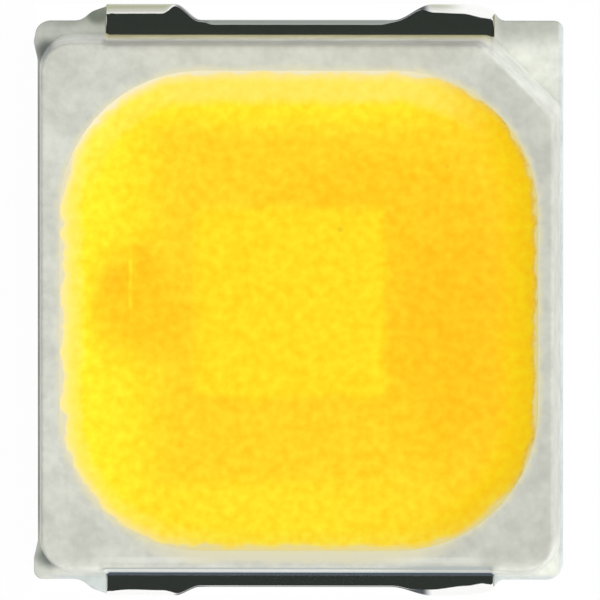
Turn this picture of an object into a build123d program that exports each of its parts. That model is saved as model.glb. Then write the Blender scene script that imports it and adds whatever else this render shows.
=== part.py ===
from build123d import *
import os
from math import radians, tan

os.makedirs("parts", exist_ok=True)

# A top-view surface-mount light-emitting diode, in millimetres.
# X runs across the leads, Y along them and Z up. The origin is the middle of the solder face.

# Housing foot, level with the leads
body_width = 3.00
body_length = 3.19
body_height = 0.70
foot_radius_bottom_left = 0.05
foot_radius_bottom_right = 0.09
foot_radius_top_right = 0.055
foot_radius_top_left = 0.08
flare = 0.022
flare_length = 0.22
flare_peak = 0.12
flare_round = 0.06
flare_blend = 0.10

# Housing wall above the foot, moulded a little off the foot's middle towards the anode
side_draft = 3.5
end_draft = 5.5
side_ledge = 0.011
end_ledge = 0.048
wall_offset = -0.02
wall_corner_radius = 0.21
polarity_chamfer = 0.40
chamfer_draft = 8.5
chamfer_blend = 0.08
rim_round = 0.012
lip_bevel = 0.012

# Notch in each end wall over the lead, and the shoulders that hug the lead's corners
notch_depth = 0.01
left_shoulder = 0.145
right_shoulder = 0.035
knee_run = 0.08
knee_rise = 0.055
shoulder_step = 0.012
shoulder_blend = 0.12

# Moulding gate mark under the web between the leads
gate_diameter = 0.26
gate_depth = 0.02

# Reflector cavity and the silicone that fills it
side_rim = 0.1475
end_rim = 0.237
window_offset_x = 0.01
window_offset_y = -0.042
window_radius = 0.80
cavity_slope = 18.8
fill_drop = 0.02
meniscus_insets = (0.0, 0.05, 0.14, 0.30)
meniscus_drops = (0.0, 0.012, 0.022, 0.028)

# Lead frame: stamped strip, flush with the housing foot above and below
lead_thickness = 0.20
lead_side_margin = 0.39
stub_stand = 0.095
stub_corner_run = 0.20
stub_corner_drop = 0.055
cathode_edge_stand = 0.004
anode_edge_stand = 0.045
stub_roll_radius = 0.045
left_stub_width = 0.39
left_stub_slope = 0.15
right_stub_width = 0.36
right_stub_slope = 0.22
lead_gap = 0.20
anode_strip = 0.77
shelf_overhang = 0.11
shelf_thickness = 0.10
shelf_cover = 0.21
shelf_radius = 0.06

# Light-emitting chip, glued to the cathode lead
chip_size = 1.143
chip_thickness = 0.15
chip_edge_gap = 0.0485
chip_zener_gap = 0.232
chip_bed = 0.02
bed_skirt = 0.035
mesa_step = 0.006
mesa_margin = 0.012

# Metal contact patterns on the chip
contact_thickness = 0.008
contact_pad = 0.10
contact_line = 0.018
contact_inset = 0.09
pad_spacing = 0.52
finger_spacing = 0.48
finger_end_gap = 0.14

# Protection chip, glued beside it
zener_size = 0.25
zener_thickness = 0.12
zener_wall_gap = 0.085
zener_offset = 0.10
zener_bed = 0.015
zener_skirt = 0.025
zener_contact = 0.13

# Gold bond wires
wire_diameter = 0.025
wire_side_count = 8
ball_diameter = 0.075
ball_height = 0.02
loop_height = 0.13
loop_bend = 0.05
loop_flat_share = 0.35
landing_run = 0.05
stitch_length = 0.09
stitch_width = 0.05
stitch_thickness = 0.013
cathode_stitch_gap = 0.21
anode_stitch_gap = 0.18
zener_stitch_gap = 0.23
zener_stitch_shift = 0.10

half_width = body_width / 2
half_length = body_length / 2
cavity_depth = body_height - lead_thickness
cavity_run = cavity_depth * tan(radians(cavity_slope))
window_width = body_width - 2 * side_rim
window_length = body_length - 2 * end_rim
floor_half_width = window_width / 2 - cavity_run
floor_half_length = window_length / 2 - cavity_run
fill_level = body_height - fill_drop

lead_width = body_width - 2 * lead_side_margin
half_lead = lead_width / 2
stub_reach = half_length + stub_stand
cathode_edge_reach = half_length + cathode_edge_stand
anode_edge_reach = half_length + anode_edge_stand
shelf_reach = half_length - shelf_cover
anode_inner = half_length - anode_strip
cathode_inner = lead_gap - anode_inner

chip_y = cathode_inner + chip_edge_gap + chip_size / 2
chip_base = lead_thickness + chip_bed
chip_top = chip_base + chip_thickness
zener_x = window_offset_x - floor_half_width + zener_wall_gap + zener_size / 2
chip_x = zener_x + (zener_size + chip_size) / 2 + chip_zener_gap
zener_y = chip_y + zener_offset
zener_base = lead_thickness + zener_bed
zener_top = zener_base + zener_thickness


def rounded_face(corners, radii):
    """A flat face with straight sides and its own radius at each corner."""
    return make_face(FilletPolyline(*corners, radius=radii, close=True))


def foot_outline():
    """Plan of the housing foot: rounded corners, two small flares and four lead shoulders."""
    pocket = half_length - end_ledge - notch_depth
    left = -half_lead - left_shoulder
    right = half_lead + right_shoulder
    knee = (-half_lead - knee_run, half_length + knee_rise)
    left_tip = stub_reach - shoulder_step
    right_tip = stub_reach - stub_corner_drop
    corners = [
        ((-half_width, -half_length + flare_length), flare_blend),
        ((-half_width - flare, -half_length + flare_peak), flare_round),
        ((-half_width - flare, -half_length), foot_radius_bottom_left),
        ((left, -half_length), shoulder_blend),
        ((knee[0], -knee[1]), shoulder_blend),
        ((-half_lead, -left_tip), 0.0),
        ((-half_lead, wall_offset - pocket), 0.0),
        ((half_lead, wall_offset - pocket), 0.0),
        ((half_lead, -right_tip), 0.0),
        ((right, -half_length), shoulder_blend / 2),
        ((half_width, -half_length), foot_radius_bottom_right),
        ((half_width, half_length), foot_radius_top_right),
        ((right, half_length), shoulder_blend / 2),
        ((half_lead, right_tip), 0.0),
        ((half_lead, wall_offset + pocket), 0.0),
        ((-half_lead, wall_offset + pocket), 0.0),
        ((-half_lead, left_tip), 0.0),
        (knee, shoulder_blend),
        ((left, half_length), shoulder_blend),
        ((-half_width, half_length), foot_radius_top_left),
        ((-half_width - flare, half_length - flare_peak), flare_round),
        ((-half_width, half_length - flare_length), flare_blend),
    ]
    points = [point for point, radius in corners]
    radii = [radius for point, radius in corners]
    return rounded_face(points, radii)


def wall_outline(level, inset):
    """The upper wall's outline at a height, from its three drafts and a further inset."""
    inset_x = inset + (level - lead_thickness) * tan(radians(side_draft))
    inset_y = inset + (level - lead_thickness) * tan(radians(end_draft))
    inset_chamfer = inset + (level - lead_thickness) * tan(radians(chamfer_draft))
    x = half_width - side_ledge - inset_x
    y = half_length - end_ledge - inset_y
    leg = polarity_chamfer - inset_x - inset_y + inset_chamfer * 2**0.5
    radius = wall_corner_radius - (inset_x + inset_y) / 2
    points = [(-x, -y), (x, -y), (x, y - leg), (x - leg, y), (-x, y)]
    face = rounded_face(points, [radius, radius, chamfer_blend, chamfer_blend, radius])
    return Pos(0, wall_offset, level) * face


def upper_wall(inset=0.0):
    """The drafted block above the foot, before the cavity is cut."""
    return loft([wall_outline(lead_thickness, inset), wall_outline(body_height, inset)], ruled=True)


def window_outline(inset, level):
    """The rounded square of the window, set in by a distance, at a height."""
    face = RectangleRounded(window_width - 2 * inset, window_length - 2 * inset, window_radius - inset)
    return Pos(window_offset_x, window_offset_y, level) * face


def cavity_space(top):
    """The tapered space of the reflector cavity, from the leads up to a height below the rim."""
    top_inset = cavity_run * (body_height - top) / cavity_depth
    floor = window_outline(cavity_run, lead_thickness)
    return loft([floor, window_outline(top_inset, top)], ruled=True)


def end_notches():
    """The slices that set the end walls back over the leads."""
    zone = Box(lead_width, 2 * body_length, cavity_depth)
    zone = Pos(0, 0, lead_thickness + cavity_depth / 2) * zone
    return zone - upper_wall(notch_depth)


def lead_plan(inner_y, edge_reach):
    """Plan of a lead towards +Y: straight sides, two sheared stubs and the lower edge between."""
    left_flat = -half_lead + left_stub_width
    left_foot = left_flat + left_stub_slope
    right_flat = half_lead - right_stub_width
    right_foot = right_flat - right_stub_slope
    level = ((1, 0), (1, 0))
    corner_start = (half_lead, stub_reach - stub_corner_drop)
    corner_end = (half_lead - stub_corner_run, stub_reach)
    outline = [
        Polyline((-half_lead, stub_reach), (-half_lead, inner_y), (half_lead, inner_y), corner_start),
        Spline(corner_start, corner_end, tangents=((0, 1), (-1, 0))),
        Line(corner_end, (right_flat, stub_reach)),
        Spline((right_foot, edge_reach), (right_flat, stub_reach), tangents=level),
        Line((right_foot, edge_reach), (left_foot, edge_reach)),
        Spline((left_flat, stub_reach), (left_foot, edge_reach), tangents=level),
        Line((left_flat, stub_reach), (-half_lead, stub_reach)),
    ]
    return make_face(outline)


def lead_section(inner_y):
    """Side view of a lead towards +Y, with the rolled-over top edge of its sheared end."""
    corners = [(inner_y, 0), (stub_reach, 0), (stub_reach, lead_thickness), (inner_y, lead_thickness)]
    return Plane.YZ * rounded_face(corners, [0, 0, stub_roll_radius, 0])


def lead(inner_y, edge_reach):
    """A lead towards +Y: its solder bar, and the wider shelf that locks it in the moulding."""
    bar_start = inner_y + shelf_overhang
    bar = extrude(lead_plan(bar_start, edge_reach), amount=lead_thickness)
    bar = bar & extrude(lead_section(bar_start), amount=lead_width, both=True)
    shelf_width = lead_width + 2 * shelf_overhang
    shelf_length = shelf_reach - inner_y
    shelf = extrude(RectangleRounded(shelf_width, shelf_length, shelf_radius), amount=shelf_thickness)
    shelf_z = lead_thickness - shelf_thickness
    return bar + Pos(0, (shelf_reach + inner_y) / 2, shelf_z) * shelf


def adhesive_bed(size, bed, skirt):
    """Adhesive under a square chip, squeezed up around its lower edges."""
    foot = size + 2 * skirt
    bead = extrude(Rectangle(foot, foot), amount=bed + skirt, taper=45 * skirt / (bed + skirt))
    return bead - Pos(0, 0, bed + size / 2) * Box(size, size, size)


def contact_pattern(side, line, pad):
    """Plan of one chip contact: two pads on a bus bar, with fingers across the chip."""
    bus_y = side * (chip_size / 2 - contact_inset)
    if side < 0:
        finger_places = (-finger_spacing, 0.0, finger_spacing)
    else:
        finger_places = (-finger_spacing / 2, finger_spacing / 2)
    finger_length = chip_size - 2 * contact_inset - finger_end_gap
    pattern = Pos(0, bus_y) * Rectangle(2 * max(finger_places) + line, line)
    for place in finger_places:
        pattern += Pos(place, bus_y - side * finger_length / 2) * Rectangle(line, finger_length)
    for place in (-pad_spacing / 2, pad_spacing / 2):
        pattern += Pos(place, bus_y) * Circle(pad / 2)
    return pattern


def bond_wire(start, end):
    """A ball-bonded wire from a contact to its stitch on a lead, in one upright plane."""
    start = Vector(*start)
    end = Vector(*end)
    along = Vector(end.X - start.X, end.Y - start.Y, 0)
    span = along.length
    along = along.normalized()
    up = Vector(0, 0, 1)
    radius = wire_diameter / 2
    ball_top = start + up * ball_height
    loop_start = start + up * loop_height
    loop_end = loop_start + along * (span * loop_flat_share)
    landing = end - along * landing_run + up * radius
    stop = end + up * radius
    path = FilletPolyline(ball_top, loop_start, loop_end, landing, stop, radius=loop_bend)
    section = Plane(origin=ball_top, x_dir=along, z_dir=up) * RegularPolygon(radius, wire_side_count)
    wire = sweep(section, path=path)
    ball = Cylinder(ball_diameter / 2, ball_height, align=(Align.CENTER, Align.CENTER, Align.MIN))
    heel = (-stitch_length / 2, wire_diameter / 2)
    tail = (stitch_length / 2, stitch_width / 2)
    plan = Polyline(heel, (-heel[0] / 3, tail[1]), tail, (tail[0], -tail[1]),
                    (-heel[0] / 3, -tail[1]), (heel[0], -heel[1]), close=True)
    stitch = extrude(make_face(plan), amount=stitch_thickness)
    seat = Plane(origin=end, x_dir=along, z_dir=up)
    return wire + Pos(*start) * ball + seat * stitch


# Leads
cathode_lead = lead(cathode_inner, cathode_edge_reach)
anode_lead = mirror(lead(anode_inner, anode_edge_reach), about=Plane.XZ)

# Chip, its bed and its two contacts
chip_place = Pos(chip_x, chip_y, chip_base)
trench = contact_pattern(1, contact_line + 2 * mesa_margin, contact_pad + 2 * mesa_margin)
led_chip = Box(chip_size, chip_size, chip_thickness, align=(Align.CENTER, Align.CENTER, Align.MIN))
led_chip -= Pos(0, 0, chip_thickness - mesa_step) * extrude(trench, amount=mesa_step)
led_chip = chip_place * led_chip
chip_attach = Pos(chip_x, chip_y, lead_thickness) * adhesive_bed(chip_size, chip_bed, bed_skirt)
p_face = chip_top
n_face = chip_top - mesa_step
p_electrode = extrude(contact_pattern(-1, contact_line, contact_pad), amount=contact_thickness)
n_electrode = extrude(contact_pattern(1, contact_line, contact_pad), amount=contact_thickness)
p_electrode = Pos(chip_x, chip_y, p_face) * p_electrode
n_electrode = Pos(chip_x, chip_y, n_face) * n_electrode

# Protection chip, its bed and its contact
zener_chip = Box(zener_size, zener_size, zener_thickness, align=(Align.CENTER, Align.CENTER, Align.MIN))
zener_chip = Pos(zener_x, zener_y, zener_base) * zener_chip
zener_attach = Pos(zener_x, zener_y, lead_thickness) * adhesive_bed(zener_size, zener_bed, zener_skirt)
zener_pad = extrude(Rectangle(zener_contact, zener_contact), amount=contact_thickness)
zener_pad = Pos(zener_x, zener_y, zener_top) * zener_pad

# Bond wires
pad_reach = chip_size / 2 - contact_inset
cathode_stitch_y = window_offset_y + floor_half_length - cathode_stitch_gap
anode_stitch_y = window_offset_y - floor_half_length + anode_stitch_gap
zener_stitch_y = window_offset_y - floor_half_length + zener_stitch_gap
zener_stitch = (zener_x + zener_stitch_shift, zener_stitch_y, lead_thickness)
wires = {}
for name, side in (("left", -1), ("right", 1)):
    x = chip_x + side * pad_spacing / 2
    n_start = (x, chip_y + pad_reach, n_face + contact_thickness)
    p_start = (x, chip_y - pad_reach, p_face + contact_thickness)
    wires["cathode_wire_" + name] = bond_wire(n_start, (x, cathode_stitch_y, lead_thickness))
    wires["anode_wire_" + name] = bond_wire(p_start, (x, anode_stitch_y, lead_thickness))
zener_ball = (zener_x, zener_y, zener_top + contact_thickness)
wires["zener_wire"] = bond_wire(zener_ball, zener_stitch)

# Housing, moulded round the leads
wall = upper_wall()
wall = fillet(wall.faces().sort_by(Axis.Z)[-1].edges(), rim_round)
housing = extrude(foot_outline(), amount=lead_thickness) + wall
housing -= end_notches()
housing -= cavity_space(body_height)
rim_face = housing.faces().sort_by(Axis.Z)[-1]
housing = chamfer(rim_face.inner_wires()[0].edges(), lip_bevel)
housing -= [cathode_lead, anode_lead]
web_y = cathode_inner - lead_gap / 2
housing -= Pos(0, web_y, gate_depth / 2) * Cylinder(gate_diameter / 2, gate_depth)

# Silicone, filling the cavity round everything in it, with a dished top
fill_inset = cavity_run * fill_drop / cavity_depth
dish_sections = []
for inset, drop in zip(meniscus_insets, meniscus_drops):
    dish_sections.append(window_outline(fill_inset + inset, fill_level - drop))
silicone = cavity_space(fill_level) - loft(dish_sections, ruled=True)
inner_pieces = {
    "led_chip": led_chip,
    "chip_attach": chip_attach,
    "p_electrode": p_electrode,
    "n_electrode": n_electrode,
    "zener_chip": zener_chip,
    "zener_attach": zener_attach,
    "zener_pad": zener_pad,
}
inner_pieces.update(wires)
silicone -= list(inner_pieces.values())

pieces = {
    "housing": housing,
    "cathode_lead": cathode_lead,
    "anode_lead": anode_lead,
    "phosphor_encapsulant": silicone,
}
pieces.update(inner_pieces)

for name, piece in pieces.items():
    piece.label = name
    export_step(piece, "parts/" + name + ".step")
    print(name, round(piece.volume, 6), "mm3", len(piece.solids()), "solid")
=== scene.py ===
"""The looks of a top-view surface-mount light-emitting diode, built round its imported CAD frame.

Every new piece is a surface of rings: one closed ring of points for each step along a profile, each
ring read at the same angles about a centre. Shapes are worked out in millimetres and written to the
meshes in metres, in the frame's own place.
"""

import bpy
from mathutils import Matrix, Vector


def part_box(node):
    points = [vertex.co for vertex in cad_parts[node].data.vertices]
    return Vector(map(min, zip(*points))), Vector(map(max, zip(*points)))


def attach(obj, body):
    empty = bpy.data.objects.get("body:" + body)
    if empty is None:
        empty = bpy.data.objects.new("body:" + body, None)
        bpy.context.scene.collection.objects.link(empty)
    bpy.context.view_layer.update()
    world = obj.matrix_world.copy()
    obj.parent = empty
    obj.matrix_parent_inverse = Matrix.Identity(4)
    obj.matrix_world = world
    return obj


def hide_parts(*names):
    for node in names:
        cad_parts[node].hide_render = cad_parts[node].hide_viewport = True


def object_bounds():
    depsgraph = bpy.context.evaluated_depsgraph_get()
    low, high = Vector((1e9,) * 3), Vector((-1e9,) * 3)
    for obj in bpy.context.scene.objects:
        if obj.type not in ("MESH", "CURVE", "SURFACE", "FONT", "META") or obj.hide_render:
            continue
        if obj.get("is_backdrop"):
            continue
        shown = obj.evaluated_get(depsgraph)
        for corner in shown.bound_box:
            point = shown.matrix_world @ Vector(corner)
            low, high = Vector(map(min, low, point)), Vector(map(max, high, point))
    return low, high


bl_info = {
    "name": "Surface-mount light-emitting diode",
    "version": (1, 0, 0),
    "blender": (4, 5, 0),
    "location": "View3D > Sidebar > Light-emitting diode",
    "description": "Builds the housing, leads, silicone and stage of a surface-mount light-emitting diode",
    "category": "Object",
}

from math import atan2, cos, pi, radians, sin, tan

import bpy
import numpy as np
from bpy.props import FloatProperty, FloatVectorProperty, PointerProperty
from mathutils import Matrix, Vector

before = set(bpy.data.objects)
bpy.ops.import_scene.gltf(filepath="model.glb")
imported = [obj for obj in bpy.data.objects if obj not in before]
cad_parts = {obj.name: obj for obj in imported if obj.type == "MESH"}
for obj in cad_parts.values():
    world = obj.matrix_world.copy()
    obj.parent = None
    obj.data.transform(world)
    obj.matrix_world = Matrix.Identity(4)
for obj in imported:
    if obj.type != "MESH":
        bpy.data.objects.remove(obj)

MM = 0.001
BODY = "root"
HOUSING_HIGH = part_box("housing")[1]
CATHODE_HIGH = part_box("cathode_lead")[1]

# Even angles at which every ring is read, besides those of the outlines' own corners
RING_STEPS = 720
# Angles nearer than this, in radians, count as one
SAME_ANGLE = 2e-4
# Points on a rounded corner
ARC_STEPS = 14
# Edges that turn by more than this, in degrees, stay crisp
SHARP_ANGLE = 32


# Sizes and colours


def length(name, description, default):
    """A size in metres that shows in the sidebar."""
    return FloatProperty(name=name, description=description, default=default, unit="LENGTH", precision=6)


def colour(name, description, default):
    """A colour that shows in the sidebar, as linear red, green and blue."""
    return FloatVectorProperty(name=name, description=description, default=default, subtype="COLOR",
                               size=3, min=0.0, max=1.0)


def linear(red, green, blue):
    """Screen colour from 0 to 255 turned into the linear light that a shader takes."""
    parts = np.array([red, green, blue]) / 255.0
    low = parts / 12.92
    high = ((parts + 0.055) / 1.055) ** 2.4
    return tuple(float(value) for value in np.where(parts <= 0.04045, low, high))


class HousingSettings(bpy.types.PropertyGroup):
    """Sizes and colours of the white moulded housing."""

    foot_width: length("Foot width", "Housing across the leads", 2 * HOUSING_HIGH.x)
    foot_length: length("Foot length", "Housing along the leads, without the lead ends", 0.00319)
    height: length("Height", "Solder face to rim", HOUSING_HIGH.z)
    side_ledge: length("Side ledge", "Foot standing out beside the wall at each side", 0.000011)
    end_ledge: length("End ledge", "Foot standing out beside the wall at each end", 0.000048)
    wall_offset: length("Wall offset", "Upper wall off the foot's middle, along the leads", -0.00002)
    wall_radius: length("Wall corner radius", "Corner of the upper wall at the foot", 0.00021)
    chamfer: length("Polarity chamfer", "Leg of the cut corner at the foot", 0.00040)
    rim_round: length("Rim edge", "Rounding of the rim's outer edge", 0.00002)
    notch_depth: length("Notch depth", "Set-back of the end walls over the leads", 0.00001)
    window_radius: length("Window corner radius", "Corner of the window at the rim", 0.00080)
    window_width: length("Window width", "Window across the leads", 0.002705)
    window_length: length("Window length", "Window along the leads", 0.002716)
    window_x: length("Window offset across", "Window off the foot's middle, across the leads", 0.00001)
    window_y: length("Window offset along", "Window off the foot's middle, along the leads", -0.000042)
    rim: colour("Rim", "The rim's top face at the left", linear(210, 212, 201))
    flat_rim: colour("Flat rim", "The rim beside the cathode", linear(204, 206, 195))
    cut_rim: colour("Cut rim", "The rim beside the cut corner", linear(198, 200, 190))
    dull_rim: colour("Dull rim", "The rim's top face at the right", linear(199, 200, 189))
    body: colour("Moulding", "The walls and the foot", linear(214, 217, 207))
    # Painted bounced light, low on the cathode's wall
    bounce: colour("Bounce", "Low on the cathode's wall", linear(219, 214, 182))
    # Painted shade, high on the cathode's wall and on the rim's edge over it
    shade: colour("Shade", "High on the cathode's wall", linear(176, 176, 165))
    # Painted yellow glow that the silicone throws on the rim, and its shaded copy on the window's right and
    # lower sides
    glow_tint: colour("Tint", "Colour that the silicone throws on the rim", linear(227, 221, 184))
    shaded_glow_tint: colour("Dim tint", "The same on the shaded sides of the window", linear(226, 219, 175))
    warm: colour("Warm rim", "The rim beside the anode", linear(220, 216, 188))
    # Painted olive contact shade at the foot of the cathode's wall
    olive: colour("Olive", "At the foot of the cathode's wall", linear(196, 195, 136))
    # Painted light on the cut corner and the ledge beside the anode
    lit: colour("Lit", "The cut corner and the ledge beside the anode", linear(227, 229, 219))
    # Painted highlight on the cut corner's wall, also used for the glint and light on the anode's side and at
    # the left end
    facet_light: colour("Facet", "The cut corner's wall", linear(243, 245, 237))
    # Painted shade on the ledge beside the cathode's right stub
    dim: colour("Dim", "The ledge beside the cathode's right stub", linear(180, 183, 173))
    # Painted shadow in the two left corners of the ledge and wall
    corner: colour("Corner", "In the two left corners of the ledge", linear(150, 156, 150))
    # Painted shade on the foot's edge at the left and beside the cathode
    edge_shade: colour("Grime", "The foot's edge at the left and beside the cathode", linear(133, 139, 127))
    # Painted cool light on the foot's edge at the right and beside the anode, and low on the anode's wall
    cool: colour("Cool edge", "The foot's edge at the right and beside the anode", linear(205, 213, 214))
    # Painted shade line under the rim beside the anode
    line: colour("Line", "The line under the rim beside the anode", linear(176, 183, 178))
    # Painted shade on the upper wall at the right
    wall: colour("Right wall", "The upper wall at the right", linear(200, 202, 193))


class LeadSettings(bpy.types.PropertyGroup):
    """Sizes and colours of the stamped and plated leads."""

    thickness: length("Thickness", "Lead strip", CATHODE_HIGH.z)
    width: length("Width", "Lead where it leaves the housing", 0.00222)
    stub_reach: length("Stub reach", "Centre to the sheared end of a stub", CATHODE_HIGH.y)
    cathode_edge: length("Cathode edge", "Centre to the edge between the cathode's stubs", 0.001599)
    anode_edge: length("Anode edge", "Centre to the edge between the anode's stubs", 0.00164)
    plating: colour("Plating", "The silver plating", (0.97, 0.97, 0.95))
    worn: colour("Worn plating", "The rolled edge of the cathode's left stub", (0.58, 0.58, 0.51))
    tarnish: colour("Tarnish", "That stub's sheared end", (0.46, 0.47, 0.33))
    # Painted grey reflection on the rolled edge between the stubs
    grey: colour("Grey plating", "The rolled edge between the stubs", (0.34, 0.37, 0.34))
    # Painted dark reflection on the lead's sides and on the edge between the stubs
    dark: colour("Dark plating", "The stubs' sides and slopes", (0.09, 0.10, 0.11))
    drawn_dark: colour("Drawn dark", "Darker lines of the solder face", (0.66, 0.67, 0.65))
    drawn_light: colour("Drawn light", "Lighter lines of the solder face", (0.86, 0.86, 0.84))
    # Painted blue reflection on the plating against the wall beside the anode
    blue_reflection: colour("Haze", "The plating against the wall beside the anode", (0.30, 0.39, 0.54))


class SiliconeSettings(bpy.types.PropertyGroup):
    """Sizes and colours of the phosphor-filled silicone."""

    meniscus_depth: length("Meniscus depth", "Drop of the dished top below its edge", 0.000036)
    meniscus_width: length("Meniscus width", "Width of the curved band inside the edge", 0.00030)
    middle: colour("Middle", "Main colour", linear(255, 212, 32))
    deep: colour("Deep", "Where the layer is thickest", linear(255, 199, 22))
    light: colour("Light", "Towards the edge", linear(255, 234, 34))
    # Over the cavity's sloping wall: partly the wall showing through the thin layer, partly painted light on
    # its lit sides
    pale: colour("Pale", "Over the cavity's sloping wall", linear(255, 230, 88))
    cream: colour("Cream", "The lit film at the edge", linear(245, 226, 157))
    dim_cream: colour("Dim cream", "The film at the edge beside the anode", linear(238, 221, 144))
    brown: colour("Brown", "The shaded film at the right edge", linear(233, 200, 96))
    stipple: colour("Stipple", "The fine dots in that film", linear(214, 176, 78))
    wet: colour("Wet lip", "The thin silicone on the lip", linear(220, 213, 180))
    wet_light: colour("Lit lip", "That lip where light falls on it", linear(238, 229, 192))
    chip: colour("Chip", "Over the chip", linear(255, 221, 26))
    # Painted shadow along the chip's right and lower edges
    chip_shadow: colour("Border", "Round the chip", linear(253, 200, 18))
    spot: colour("Spot", "The two dark spots on the protection chip", linear(255, 194, 20))
    # Painted shade inside the right edge
    right_band: colour("Right band", "Inside the right edge", linear(254, 209, 12))
    speck: colour("Speck", "The scattered specks", linear(214, 150, 20))


# Outlines


def rounded_outline(corners):
    """A closed outline with a rounded corner at each (x, y, radius), counterclockwise.

    Each arc touches both sides at radius times the tangent of half the turn from its corner, and its
    points are the arc's centre plus the radius at evenly spaced angles.
    """
    count = len(corners)
    parts = []
    for index in range(count):
        before = np.array(corners[index - 1][:2])
        here = np.array(corners[index][:2])
        after = np.array(corners[(index + 1) % count][:2])
        radius = corners[index][2]
        if radius <= 0:
            parts.append(here[None, :])
            continue
        into = (here - before) / np.linalg.norm(here - before)
        out = (after - here) / np.linalg.norm(after - here)
        turn = atan2(into[0] * out[1] - into[1] * out[0], into @ out)
        start = here - into * radius * tan(abs(turn) / 2)
        side = np.array([-into[1], into[0]]) * np.sign(turn)
        centre = start + side * radius
        first = atan2(*(start - centre)[::-1])
        angles = first + np.linspace(0, turn, ARC_STEPS)
        parts.append(centre + radius * np.stack([np.cos(angles), np.sin(angles)], axis=1))
    return np.concatenate(parts)


def eased_step(start, end, steps=16):
    """Points from start to end along x, with y following 3t squared less 2t cubed."""
    t = np.linspace(0, 1, steps)
    x = start[0] + (end[0] - start[0]) * t
    y = start[1] + (end[1] - start[1]) * (3 * t**2 - 2 * t**3)
    return np.stack([x, y], axis=1)


def angles_of(outline, centre):
    """Angle of each outline point about the centre."""
    return np.arctan2(outline[:, 1] - centre[1], outline[:, 0] - centre[0])


def ring_angles(outlines, centre):
    """Even angles, and the angles of all corners of the outlines, in rising order."""
    own = [angles_of(outline, centre) for outline in outlines]
    even = np.linspace(-pi, pi, RING_STEPS, endpoint=False)
    merged = np.sort(np.concatenate([even] + own))
    keep = np.append(np.diff(merged) > SAME_ANGLE, True)
    return merged[keep]


def reach(outline, centre, angles):
    """Distance from the centre to the outline along each angle.

    A ray meets the straight piece between two neighbouring points a and b where its length is the
    cross product of a and the piece, over the cross product of the ray's direction and the piece.
    """
    own = angles_of(outline, centre)
    order = np.argsort(own)
    points = (outline - np.asarray(centre))[order]
    own = own[order]
    after = np.searchsorted(own, angles, side="right") % len(own)
    a = points[after - 1]
    piece = points[after] - a
    ray = np.stack([np.cos(angles), np.sin(angles)], axis=1)
    across = ray[:, 0] * piece[:, 1] - ray[:, 1] * piece[:, 0]
    return (a[:, 0] * piece[:, 1] - a[:, 1] * piece[:, 0]) / across


def quarter(radius, steps):
    """A quarter circle's points: the radius less its sine part, and the radius less its cosine part."""
    return [(radius * (1 - sin(angle)), radius * (1 - cos(angle))) for angle in np.linspace(0, pi / 2, steps)]


def smooth(value, low, high):
    """0 below low, 1 above high and 3t squared less 2t cubed between them."""
    t = np.clip((value - low) / (high - low), 0, 1)
    return t * t * (3 - 2 * t)


class Rings:
    """A stack of rings about one centre, which becomes one closed surface."""

    def __init__(self, centre, angles):
        self.centre = centre
        self.angles = angles
        self.ray = np.stack([np.cos(angles), np.sin(angles)], axis=1)
        self.rings = []

    def distances(self, outline):
        """Distance from the centre to an outline along each ray."""
        return reach(outline, self.centre, self.angles)

    def add(self, distance, height):
        """Adds the ring at a distance along each ray, at a height that may differ along the ring."""
        ring = np.empty((len(self.angles), 3))
        ring[:, :2] = self.centre + self.ray * distance[:, None]
        ring[:, 2] = height
        self.rings.append(ring)

    def add_shares(self, distance, shares, height):
        """Adds a flat ring at each share of a distance."""
        for share in shares:
            self.add(distance * share, height)

    def mesh(self, name, top, bottom):
        """Joins the rings with four-sided faces and closes both ends on a middle point.

        The rings run from the middle of the top, over the outer edge, to the middle of the bottom.
        """
        steps = len(self.angles)
        count = len(self.rings)
        ends = np.array([[*self.centre, top], [*self.centre, bottom]])
        points = np.concatenate([np.concatenate(self.rings), ends]) * MM
        j = np.arange(steps)
        following = (j + 1) % steps
        row = np.arange(count - 1)[:, None] * steps
        quads = np.stack([row + j, row + steps + j, row + steps + following, row + following], axis=2)
        first_fan = np.stack([np.full(steps, count * steps), j, following], axis=1)
        last = (count - 1) * steps
        last_fan = np.stack([np.full(steps, count * steps + 1), last + following, last + j], axis=1)
        faces = quads.reshape(-1, 4).tolist() + first_fan.tolist() + last_fan.tolist()
        data = bpy.data.meshes.new(name)
        data.from_pydata(points.tolist(), [], faces)
        data.update()
        return data


def add_object(name, data):
    """Puts a mesh into the scene as an object at the origin."""
    piece = bpy.data.objects.new(name, data)
    bpy.context.scene.collection.objects.link(piece)
    return piece


def soften(data):
    """Smooth shading, with sharp edges kept crisp."""
    data.shade_smooth()
    data.set_sharp_from_angle(angle=radians(SHARP_ANGLE))


# Housing


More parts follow.
